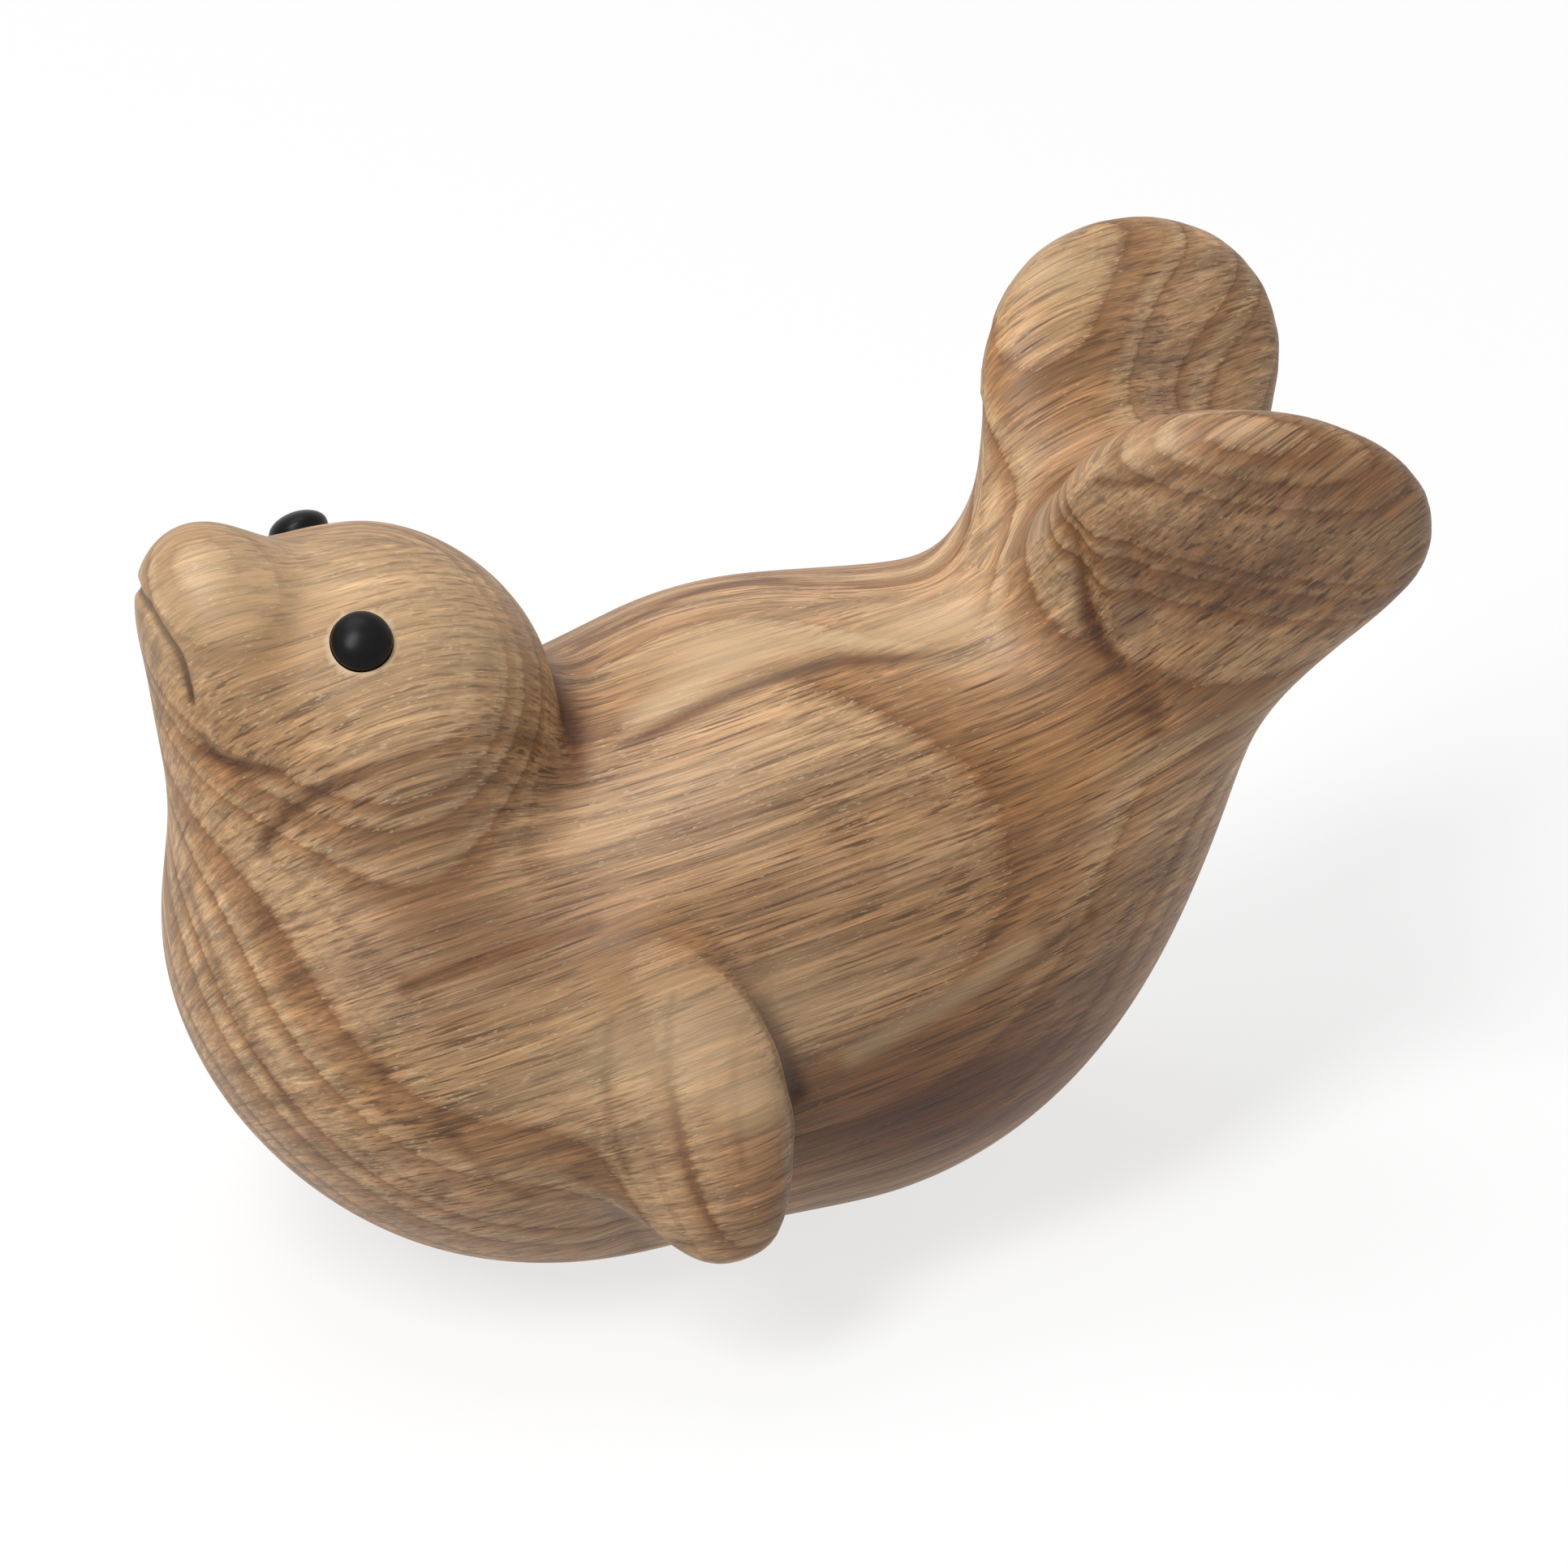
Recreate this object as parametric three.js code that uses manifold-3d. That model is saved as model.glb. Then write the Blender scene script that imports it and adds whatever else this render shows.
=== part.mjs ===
// A seal figurine carved from one block of open-pored hardwood, with two moulded black eyes
// glued by their pegs into sockets drilled in the head. It rests on a flat sanded on its belly.
// Millimetres and degrees. +X runs towards the head, +Y towards the seal's left, +Z up.
// The origin is the centre of the bounding box, at the height of the belly flat.

import * as THREE from 'three';
import { mergeVertices } from 'three/addons/utils/BufferGeometryUtils.js';
import Module from 'manifold-3d';

// Barrel of the body: the other swellings are placed from its centre
const BARREL_LENGTH = 82;
const BARREL_WIDTH = 70;
const BARREL_HEIGHT = 73;
const BARREL_PITCH = 0;

// Chest, ahead of the barrel and reared up
const CHEST_LENGTH = 75;
const CHEST_WIDTH = 66;
const CHEST_HEIGHT = 56.4;
const CHEST_PITCH = 45;
const CHEST_AHEAD = 37.2;
const CHEST_DROP = 5.4;

// Head, above the chest
const HEAD_LENGTH = 42;
const HEAD_WIDTH = 42;
const HEAD_HEIGHT = 36.5;
const HEAD_PITCH = 36;
const HEAD_AHEAD = 8.6;
const HEAD_RISE = 38.8;

// Muzzle and chin, placed from the centre of the head
const MUZZLE_LENGTH = 31;
const MUZZLE_WIDTH = 25.6;
const MUZZLE_HEIGHT = 20;
const MUZZLE_PITCH = 62;
const MUZZLE_AHEAD = 15.4;
const MUZZLE_RISE = 9;
const CHIN_LENGTH = 38;
const CHIN_WIDTH = 22;
const CHIN_HEIGHT = 17;
const CHIN_PITCH = 82;
const CHIN_AHEAD = 16;
const CHIN_RISE = 1;

// Rump behind the barrel, and the tail stock that lifts the hind flippers
const RUMP_LENGTH = 84;
const RUMP_WIDTH = 46;
const RUMP_HEIGHT = 45.5;
const RUMP_PITCH = -50;
const RUMP_BEHIND = 25.6;
const RUMP_RISE = 4.8;
const STOCK_LENGTH = 24;
const STOCK_WIDTH = 34;
const STOCK_HEIGHT = 26;
const STOCK_PITCH = -30;
const STOCK_BEHIND = 18.5;
const STOCK_RISE = 31.8;

// Haunches, the ridges that run up from the back to the hind flippers, placed from the centre of the stock
const HAUNCH_LENGTH = 38;
const HAUNCH_WIDTH = 16;
const HAUNCH_THICKNESS = 12;
const HAUNCH_AHEAD = 7.2;
const HAUNCH_OUT = 10.5;
const HAUNCH_RISE = 4.4;
const HAUNCH_SWEEP = 140;
const HAUNCH_LIFT = 60;
const HAUNCH_FACE_TURN = 73;

// Front flippers, placed from the centre of the barrel
const FRONT_LENGTH = 40.5;
const FRONT_WIDTH = 24.8;
const FRONT_THICKNESS = 12;
const FRONT_TAPER = -0.1;
const FRONT_AHEAD = 20.8;
const FRONT_OUT = 34;
const FRONT_DROP = 4.1;
const FRONT_SWEEP = 117.5;
const FRONT_DROOP = 62;
const FRONT_FACE_TURN = 50;
const FRONT_FACE_TILT = 18;

// Hind flippers, placed from the centre of the tail stock
const HIND_LENGTH = 42.6;
const HIND_WIDTH = 39;
const HIND_THICKNESS = 11.2;
const HIND_TAPER = -0.1;
const HIND_BEHIND = 5.3;
const HIND_OUT = 19.9;
const HIND_RISE = 11.3;
const HIND_SWEEP = 160;
const HIND_LIFT = 9;
const HIND_FACE_TURN = -73;
const HIND_FACE_TILT = 11;
const HIND_ROOT_IN = 2;

// How full a flipper is: 2 is an ellipsoid, more is flatter on its face and rounder at its rim
const FLIPPER_FULLNESS = 2.6;

// Hollows left between the forms: a small figure is a crisp crease, a large one a long sweep
const BODY_SWEEP = 16;
const NAPE_CREASE = 4;
const THROAT_SWEEP = 13;
const NAPE_BEHIND = 8.8;
const NAPE_DROP = 8.8;
const NAPE_SLOPE = -35;
const NAPE_FADE = 14;
const HAUNCH_HOLLOW = 7;
const MUZZLE_CREASE = 2.4;
const CHIN_CREASE = 9.5;
const FRONT_REAR_CREASE = 3;
const FRONT_SHOULDER_SWEEP = 7;
const HIND_OUTER_CREASE = 3.5;
const HIND_INNER_SWEEP = 8;
const HIND_LOWER_SWEEP = 10;

// Eyes: a low dome with a skirt sunk in a counterbore, and a peg in a blind hole below it
const EYE_DIAMETER = 6.8;
const EYE_DOME = 2;
const EYE_SKIRT = 1.2;
const EYE_PEG_DIAMETER = 3;
const EYE_PEG_LENGTH = 7;
const EYE_PEG_CHAMFER = 0.4;
const EYE_AHEAD = 5;
const EYE_RISE = 14.6;
const EYE_CLEARANCE = 0.3;
const SOCKET_DRILL_POINT = 1;

// Belly flat, and the size of the facets that the carved surface is drawn with
const BELLY_FLAT_DEPTH = 2;
const FACET = 3.1;
const FAIRING_PASSES = 4;
const EYE_SIDES = 24;
const EYE_DOME_STEPS = 7;

const WOOD_COLOUR = '#a98259';
const EYE_COLOUR = '#17181a';

const radians = THREE.MathUtils.degToRad;
const TINY = 1e-9;

// Directions: azimuth turns from +X towards +Y, elevation rises from the ground.
function direction(azimuth, elevation) {
  const flat = Math.cos(radians(elevation));
  return new THREE.Vector3(
    flat * Math.cos(radians(azimuth)),
    flat * Math.sin(radians(azimuth)),
    Math.sin(radians(elevation)),
  );
}

// Forms are distance fields, in millimetres: negative inside the wood, positive outside.

// A swelling is an ellipsoid centred on the mid-plane and pitched nose up.
function swelling(centre, pitch, length, width, height) {
  const cosine = Math.cos(radians(pitch));
  const sine = Math.sin(radians(pitch));
  const a = length / 2;
  const b = width / 2;
  const c = height / 2;
  return (x, y, z) => {
    const dx = x - centre.x;
    const dz = z - centre.z;
    const u = (dx * cosine + dz * sine) / a;
    const v = y / b;
    const w = (dz * cosine - dx * sine) / c;
    const reach = Math.sqrt(u * u + v * v + w * w);
    const slope = Math.sqrt((u / a) ** 2 + (v / b) ** 2 + (w / c) ** 2);
    return (reach * (reach - 1)) / Math.max(slope, TINY);
  };
}

// A paddle is an egg-shaped form with a round rim, whose root can be drawn in along its face normal.
// It exists on both sides, so y is taken as a distance from the mid-plane. Places on it are returned
// with the field: 1 is its tip, its edge or its face.
function paddle(centre, along, faceNormal, sizes) {
  const { length, width, thickness, fullness = 2, taper = 0, rootIn = 0 } = sizes;
  const face = faceNormal.clone().addScaledVector(along, -faceNormal.dot(along)).normalize();
  const across = new THREE.Vector3().crossVectors(face, along);
  const a = length / 2;
  const b = width / 2;
  const c = thickness / 2;
  const local = (axis, x, y, z) =>
    (x - centre.x) * axis.x + (Math.abs(y) - centre.y) * axis.y + (z - centre.z) * axis.z;
  const alongAt = (x, y, z) => local(along, x, y, z) / a;
  const acrossAt = (x, y, z) => local(across, x, y, z) / b;
  const faceAt = (x, y, z) => {
    const root = (1 - Math.min(alongAt(x, y, z), 1)) / 2;
    return (local(face, x, y, z) - rootIn * root ** 2) / c;
  };
  const field = (x, y, z) => {
    const u = alongAt(x, y, z);
    const breadth = 1 + taper * THREE.MathUtils.clamp(u, -1, 1);
    const v = acrossAt(x, y, z) / breadth;
    const w = Math.abs(faceAt(x, y, z));
    const outline = Math.max(Math.hypot(u, v), TINY);
    const reach = Math.max((outline ** fullness + w ** fullness) ** (1 / fullness), TINY);
    const edgeSlope = Math.hypot(u / a, v / (b * breadth)) / outline;
    const edgeShare = (outline / reach) ** (fullness - 1);
    const faceShare = (w / reach) ** (fullness - 1);
    return (reach - 1) / Math.max(Math.hypot(edgeShare * edgeSlope, faceShare / c), TINY);
  };
  return { field, along: alongAt, across: acrossAt, face: faceAt };
}

// Joins two fields and fills the hollow between them over a given distance.
function blend(a, b, distance) {
  const h = THREE.MathUtils.clamp(0.5 + (0.5 * (b - a)) / distance, 0, 1);
  return b * (1 - h) + a * h - distance * h * (1 - h);
}

// Goes from one hollow to another as t runs from -1 to 1.
function fade(from, to, t) {
  return from + (to - from) * THREE.MathUtils.smoothstep(t, -1, 1);
}

// Centres of the forms
const barrelCentre = new THREE.Vector3(0, 0, 0);
const chestCentre = new THREE.Vector3(CHEST_AHEAD, 0, -CHEST_DROP).add(barrelCentre);
const headCentre = new THREE.Vector3(HEAD_AHEAD, 0, HEAD_RISE).add(chestCentre);
const muzzleCentre = new THREE.Vector3(MUZZLE_AHEAD, 0, MUZZLE_RISE).add(headCentre);
const chinCentre = new THREE.Vector3(CHIN_AHEAD, 0, CHIN_RISE).add(headCentre);
const rumpCentre = new THREE.Vector3(-RUMP_BEHIND, 0, RUMP_RISE).add(barrelCentre);
const stockCentre = new THREE.Vector3(-STOCK_BEHIND, 0, STOCK_RISE).add(rumpCentre);
const haunchCentre = new THREE.Vector3(HAUNCH_AHEAD, HAUNCH_OUT, HAUNCH_RISE).add(stockCentre);
const frontCentre = new THREE.Vector3(FRONT_AHEAD, FRONT_OUT, -FRONT_DROP).add(barrelCentre);
const hindCentre = new THREE.Vector3(-HIND_BEHIND, HIND_OUT, HIND_RISE).add(stockCentre);
const napeCentre = new THREE.Vector3(-NAPE_BEHIND, 0, -NAPE_DROP).add(headCentre);

// The forms
const barrel = swelling(barrelCentre, BARREL_PITCH, BARREL_LENGTH, BARREL_WIDTH, BARREL_HEIGHT);
const chest = swelling(chestCentre, CHEST_PITCH, CHEST_LENGTH, CHEST_WIDTH, CHEST_HEIGHT);
const head = swelling(headCentre, HEAD_PITCH, HEAD_LENGTH, HEAD_WIDTH, HEAD_HEIGHT);
const muzzle = swelling(muzzleCentre, MUZZLE_PITCH, MUZZLE_LENGTH, MUZZLE_WIDTH, MUZZLE_HEIGHT);
const chin = swelling(chinCentre, CHIN_PITCH, CHIN_LENGTH, CHIN_WIDTH, CHIN_HEIGHT);
const rump = swelling(rumpCentre, RUMP_PITCH, RUMP_LENGTH, RUMP_WIDTH, RUMP_HEIGHT);
const stock = swelling(stockCentre, STOCK_PITCH, STOCK_LENGTH, STOCK_WIDTH, STOCK_HEIGHT);
const haunch = paddle(
  haunchCentre,
  direction(HAUNCH_SWEEP, HAUNCH_LIFT),
  direction(HAUNCH_FACE_TURN, 0),
  { length: HAUNCH_LENGTH, width: HAUNCH_WIDTH, thickness: HAUNCH_THICKNESS },
);
const frontFlipper = paddle(
  frontCentre,
  direction(FRONT_SWEEP, -FRONT_DROOP),
  direction(FRONT_FACE_TURN, FRONT_FACE_TILT),
  {
    length: FRONT_LENGTH,
    width: FRONT_WIDTH,
    thickness: FRONT_THICKNESS,
    fullness: FLIPPER_FULLNESS,
    taper: FRONT_TAPER,
  },
);
const hindFlipper = paddle(
  hindCentre,
  direction(HIND_SWEEP, HIND_LIFT),
  direction(HIND_FACE_TURN, HIND_FACE_TILT),
  {
    length: HIND_LENGTH,
    width: HIND_WIDTH,
    thickness: HIND_THICKNESS,
    fullness: FLIPPER_FULLNESS,
    taper: HIND_TAPER,
    rootIn: HIND_ROOT_IN,
  },
);
const throatward = direction(0, NAPE_SLOPE);

// The whole seal. The neck is creased at the nape and flows into the chest at the throat. A front
// flipper grows out of the shoulder and stands clear along its rear edge. A hind flipper sweeps up
// from the back on its inner face, flows into the rump below, and is creased against the haunch.
function seal(x, y, z) {
  let body = blend(chest(x, y, z), barrel(x, y, z), BODY_SWEEP);
  body = blend(body, rump(x, y, z), BODY_SWEEP);
  body = blend(body, stock(x, y, z), BODY_SWEEP);
  body = blend(body, haunch.field(x, y, z), HAUNCH_HOLLOW);
  let face = blend(head(x, y, z), chin(x, y, z), CHIN_CREASE);
  face = blend(face, muzzle(x, y, z), MUZZLE_CREASE);
  const fromNape = (x - napeCentre.x) * throatward.x + (z - napeCentre.z) * throatward.z;
  body = blend(body, face, fade(NAPE_CREASE, THROAT_SWEEP, fromNape / NAPE_FADE));
  const fromRear = -frontFlipper.across(x, y, z) - frontFlipper.along(x, y, z);
  const shoulder = fade(FRONT_REAR_CREASE, FRONT_SHOULDER_SWEEP, fromRear);
  body = blend(body, frontFlipper.field(x, y, z), shoulder);
  const tailRoot = fade(HIND_OUTER_CREASE, HIND_INNER_SWEEP, hindFlipper.face(x, y, z));
  // Grows from the middle of the flipper towards its lower edge and its tip
  const lower = 2 * hindFlipper.across(x, y, z) + hindFlipper.along(x, y, z) - 1;
  return blend(body, hindFlipper.field(x, y, z), tailRoot + fade(0, HIND_LOWER_SWEEP, lower));
}

// Direction in which a field grows fastest: out of the wood.
function gradient(field, p) {
  const e = FACET / 20;
  return new THREE.Vector3(
    field(p.x + e, p.y, p.z) - field(p.x - e, p.y, p.z),
    field(p.x, p.y + e, p.z) - field(p.x, p.y - e, p.z),
    field(p.x, p.y, p.z + e) - field(p.x, p.y, p.z - e),
  ).divideScalar(2 * e);
}

// Box that holds every form with room for the hollows between them.
function carvingBlock() {
  const block = new THREE.Box3();
  const hold = (centre, ...sizes) => {
    const reach = Math.max(...sizes) / 2;
    const offset = new THREE.Vector3(reach, reach, reach);
    block.expandByPoint(centre.clone().add(offset));
    block.expandByPoint(centre.clone().sub(offset));
  };
  hold(barrelCentre, BARREL_LENGTH, BARREL_WIDTH, BARREL_HEIGHT);
  hold(chestCentre, CHEST_LENGTH, CHEST_WIDTH, CHEST_HEIGHT);
  hold(headCentre, HEAD_LENGTH, HEAD_WIDTH, HEAD_HEIGHT);
  hold(muzzleCentre, MUZZLE_LENGTH, MUZZLE_WIDTH, MUZZLE_HEIGHT);
  hold(chinCentre, CHIN_LENGTH, CHIN_WIDTH, CHIN_HEIGHT);
  hold(rumpCentre, RUMP_LENGTH, RUMP_WIDTH, RUMP_HEIGHT);
  hold(stockCentre, STOCK_LENGTH, STOCK_WIDTH, STOCK_HEIGHT);
  hold(haunchCentre, HAUNCH_LENGTH, HAUNCH_WIDTH, HAUNCH_THICKNESS);
  hold(frontCentre, FRONT_LENGTH, FRONT_WIDTH, FRONT_THICKNESS);
  hold(hindCentre, HIND_LENGTH, HIND_WIDTH, HIND_THICKNESS);
  const sides = Math.max(block.max.y, -block.min.y);
  block.max.y = sides;
  block.min.y = -sides;
  return block.expandByScalar(2 * FACET);
}

// Corners of a cell, and its edges as pairs of corners that differ along one axis
const CORNERS = [];
for (let c = 0; c < 8; c += 1) {
  CORNERS.push([c & 1, (c >> 1) & 1, (c >> 2) & 1]);
}
const EDGES = [];
for (let c = 0; c < 8; c += 1) {
  for (const bit of [1, 2, 4]) {
    if (!(c & bit)) EDGES.push([c, c | bit]);
  }
}

// True if the cell corners of one kind, inside or outside, hang together along the cell's edges.
function oneCluster(flags) {
  const first = flags.indexOf(true);
  const reached = new Set([first]);
  for (const corner of reached) {
    for (const [a, b] of EDGES) {
      if (a === corner && flags[b]) reached.add(b);
      if (b === corner && flags[a]) reached.add(a);
    }
  }
  return reached.size === flags.filter(Boolean).length;
}

// Evens out a net of quads: each vertex goes to the mean of its neighbours, then back to the surface.
function fair(vertices, quads, field) {
  const neighbours = vertices.map(() => new Set());
  for (const quad of quads) {
    quad.forEach((v, corner) => {
      const next = quad[(corner + 1) % 4];
      neighbours[v].add(next);
      neighbours[next].add(v);
    });
  }
  for (let pass = 0; pass < FAIRING_PASSES; pass += 1) {
    const means = neighbours.map((near) => {
      const mean = new THREE.Vector3();
      for (const v of near) mean.add(vertices[v]);
      return mean.divideScalar(near.size);
    });
    vertices.forEach((vertex, v) => {
      vertex.copy(means[v]);
      for (let settle = 0; settle < 3; settle += 1) {
        const uphill = gradient(field, vertex);
        const height = field(vertex.x, vertex.y, vertex.z) / Math.max(uphill.length(), 0.5);
        vertex.addScaledVector(uphill.normalize(), -THREE.MathUtils.clamp(height, -FACET, FACET));
      }
    });
  }
}

// Draws the zero surface of a field as a closed mesh of quads with one vertex per crossed cell.
function carve(field) {
  const block = carvingBlock();
  const size = block.getSize(new THREE.Vector3());
  const count = [size.x, size.y, size.z].map((side) => Math.ceil(side / FACET) + 1);
  const middle = block.getCenter(new THREE.Vector3());
  const start = [middle.x, middle.y, middle.z].map((m, k) => m - ((count[k] - 1) * FACET) / 2);
  const stride = [1, count[0], count[0] * count[1]];
  const index = (i, j, k) => i + j * stride[1] + k * stride[2];
  const values = new Float64Array(count[0] * count[1] * count[2]);
  for (let k = 0; k < count[2]; k += 1) {
    for (let j = 0; j < count[1]; j += 1) {
      for (let i = 0; i < count[0]; i += 1) {
        values[index(i, j, k)] = field(start[0] + i * FACET, start[1] + j * FACET, start[2] + k * FACET);
      }
    }
  }
  const cornerOffsets = CORNERS.map(([i, j, k]) => index(i, j, k));
  const eachCell = (visit) => {
    for (let k = 0; k + 1 < count[2]; k += 1) {
      for (let j = 0; j + 1 < count[1]; j += 1) {
        for (let i = 0; i + 1 < count[0]; i += 1) visit(i, j, k, index(i, j, k));
      }
    }
  };

  // A cell that two sheets of surface share is a cleft too narrow to draw, so wood is left in it.
  let clefts = 1;
  while (clefts > 0) {
    clefts = 0;
    eachCell((i, j, k, cell) => {
      const inside = cornerOffsets.map((offset) => values[cell + offset] < 0);
      if (inside.every(Boolean) || !inside.some(Boolean)) return;
      if (oneCluster(inside) && oneCluster(inside.map((flag) => !flag))) return;
      const open = cornerOffsets.filter((offset) => values[cell + offset] >= 0);
      open.sort((a, b) => values[cell + a] - values[cell + b]);
      values[cell + open[0]] = -TINY;
      clefts += 1;
    });
  }

  // One vertex in each crossed cell: the mean of the edge crossings.
  const vertexOf = new Map();
  const vertices = [];
  eachCell((i, j, k, cell) => {
    const mean = new THREE.Vector3();
    let crossings = 0;
    for (const [a, b] of EDGES) {
      const fa = values[cell + cornerOffsets[a]];
      const fb = values[cell + cornerOffsets[b]];
      if (fa < 0 === fb < 0) continue;
      const t = fa / (fa - fb);
      mean.x += CORNERS[a][0] + t * (CORNERS[b][0] - CORNERS[a][0]);
      mean.y += CORNERS[a][1] + t * (CORNERS[b][1] - CORNERS[a][1]);
      mean.z += CORNERS[a][2] + t * (CORNERS[b][2] - CORNERS[a][2]);
      crossings += 1;
    }
    if (crossings === 0) return;
    const low = new THREE.Vector3(start[0] + i * FACET, start[1] + j * FACET, start[2] + k * FACET);
    vertexOf.set(cell, vertices.length);
    vertices.push(mean.multiplyScalar(FACET / crossings).add(low));
  });

  // One quad round each crossed grid edge, wound to face out.
  const quads = [];
  for (let axis = 0; axis < 3; axis += 1) {
    const second = stride[(axis + 1) % 3];
    const third = stride[(axis + 2) % 3];
    for (let here = 0; here + stride[axis] < values.length; here += 1) {
      const enters = values[here] < 0;
      if (enters === values[here + stride[axis]] < 0) continue;
      const ring = [here - second - third, here - third, here, here - second];
      const quad = ring.map((cell) => vertexOf.get(cell));
      quads.push(enters ? quad : quad.reverse());
    }
  }
  fair(vertices, quads, field);

  // Each quad is split along its shorter diagonal.
  const triangles = [];
  for (const [a, b, c, d] of quads) {
    if (vertices[a].distanceTo(vertices[c]) < vertices[b].distanceTo(vertices[d])) {
      triangles.push(a, b, c, a, c, d);
    } else {
      triangles.push(a, b, d, b, c, d);
    }
  }
  const geometry = new THREE.BufferGeometry().setFromPoints(vertices);
  geometry.setIndex(triangles);
  return geometry;
}

// Solids for cutting, and back to geometry
const wasm = await Module();
wasm.setup();

function solidOf(geometry) {
  const bare = geometry.clone();
  bare.deleteAttribute('normal');
  bare.deleteAttribute('uv');
  const merged = mergeVertices(bare, 1e-4);
  const vertProperties = new Float32Array(merged.attributes.position.array);
  const triVerts = new Uint32Array(merged.index.array);
  return new wasm.Manifold(new wasm.Mesh({ numProp: 3, vertProperties, triVerts }));
}

function geometryOf(solid) {
  const mesh = solid.getMesh();
  const geometry = new THREE.BufferGeometry();
  geometry.setAttribute('position', new THREE.BufferAttribute(new Float32Array(mesh.vertProperties), 3));
  geometry.setIndex(new THREE.BufferAttribute(new Uint32Array(mesh.triVerts), 1));
  geometry.computeVertexNormals();
  return geometry;
}

// Seat of an eye: where a line out from the mid-plane leaves the head, and the way the wood faces there.
function eyeSeat(side) {
  const seat = new THREE.Vector3(EYE_AHEAD, 0, EYE_RISE).add(headCentre);
  const stepOut = FACET / 4;
  while (seal(seat.x, seat.y + stepOut, seat.z) < 0) seat.y += stepOut;
  let beyond = seat.y + stepOut;
  for (let halving = 0; halving < 30; halving += 1) {
    const half = (seat.y + beyond) / 2;
    if (seal(seat.x, half, seat.z) < 0) seat.y = half;
    else beyond = half;
  }
  const outward = gradient(seal, seat).normalize();
  seat.y *= side;
  outward.y *= side;
  const turn = new THREE.Quaternion().setFromUnitVectors(new THREE.Vector3(0, 1, 0), outward);
  return { seat, turn };
}

const eyeRadius = EYE_DIAMETER / 2;
const pegRadius = EYE_PEG_DIAMETER / 2;

// Dome, skirt and peg as one revolved moulding. Height 0 is the wood's surface.
function eyeGeometry() {
  const profile = [
    new THREE.Vector2(0, -EYE_PEG_LENGTH),
    new THREE.Vector2(pegRadius - EYE_PEG_CHAMFER, -EYE_PEG_LENGTH),
    new THREE.Vector2(pegRadius, -EYE_PEG_LENGTH + EYE_PEG_CHAMFER),
    new THREE.Vector2(pegRadius, -EYE_SKIRT),
    new THREE.Vector2(eyeRadius, -EYE_SKIRT),
  ];
  for (let step = 0; step < EYE_DOME_STEPS; step += 1) {
    const angle = (step / EYE_DOME_STEPS) * (Math.PI / 2);
    profile.push(new THREE.Vector2(eyeRadius * Math.cos(angle), EYE_DOME * Math.sin(angle)));
  }
  profile.push(new THREE.Vector2(0, EYE_DOME));
  return new THREE.LatheGeometry(profile, EYE_SIDES);
}

// Counterbore and blind hole for one eye, open above the wood.
function socketGeometry() {
  const wide = eyeRadius + EYE_CLEARANCE;
  const narrow = pegRadius + EYE_CLEARANCE;
  const shelf = -EYE_SKIRT - EYE_CLEARANCE;
  const bottom = -EYE_PEG_LENGTH - EYE_CLEARANCE;
  const profile = [
    new THREE.Vector2(0, bottom - SOCKET_DRILL_POINT),
    new THREE.Vector2(narrow, bottom),
    new THREE.Vector2(narrow, shelf),
    new THREE.Vector2(wide, shelf),
    new THREE.Vector2(wide, EYE_DIAMETER),
    new THREE.Vector2(0, EYE_DIAMETER),
  ];
  return new THREE.LatheGeometry(profile, EYE_SIDES);
}

const leftSeat = eyeSeat(1);
const rightSeat = eyeSeat(-1);

// Carved body: drill the sockets, then sand the belly flat.
function carvedBody() {
  const rough = carve(seal);
  rough.computeBoundingBox();
  const box = rough.boundingBox;
  let solid = solidOf(rough);
  for (const { seat, turn } of [leftSeat, rightSeat]) {
    const socket = socketGeometry().applyQuaternion(turn).translate(seat.x, seat.y, seat.z);
    solid = solid.subtract(solidOf(socket));
  }
  const size = box.getSize(new THREE.Vector3());
  const ground = box.min.z + BELLY_FLAT_DEPTH;
  const sander = new THREE.BoxGeometry(2 * size.x, 2 * size.y, size.z);
  sander.translate((box.min.x + box.max.x) / 2, 0, ground - size.z / 2);
  return { geometry: geometryOf(solid.subtract(solidOf(sander))), ground };
}

const wood = new THREE.MeshStandardMaterial({ color: WOOD_COLOUR, roughness: 0.6, metalness: 0 });
const { geometry: bodyGeometry, ground } = carvedBody();
const body = new THREE.Mesh(bodyGeometry, wood);
body.name = 'carved_body';

function eye(name, { seat, turn }) {
  const plastic = new THREE.MeshStandardMaterial({ color: EYE_COLOUR, roughness: 0.25, metalness: 0 });
  const mesh = new THREE.Mesh(eyeGeometry(), plastic);
  mesh.name = name;
  mesh.position.copy(seat);
  mesh.quaternion.copy(turn);
  return mesh;
}

// The forms are laid out from the barrel, so the finished seal is moved to stand on the origin.
const figurine = new THREE.Group();
figurine.add(body, eye('left_eye', leftSeat), eye('right_eye', rightSeat));
bodyGeometry.computeBoundingBox();
const { min, max } = bodyGeometry.boundingBox;
figurine.position.set(-(min.x + max.x) / 2, 0, -ground);

export default figurine;
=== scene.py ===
"""A carved wooden seal figurine: its looks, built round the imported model.

Metres, +Z up, +X towards the head.
"""

import math

import bpy
import numpy as np
from mathutils import Matrix, Vector
from mathutils.bvhtree import BVHTree


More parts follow.
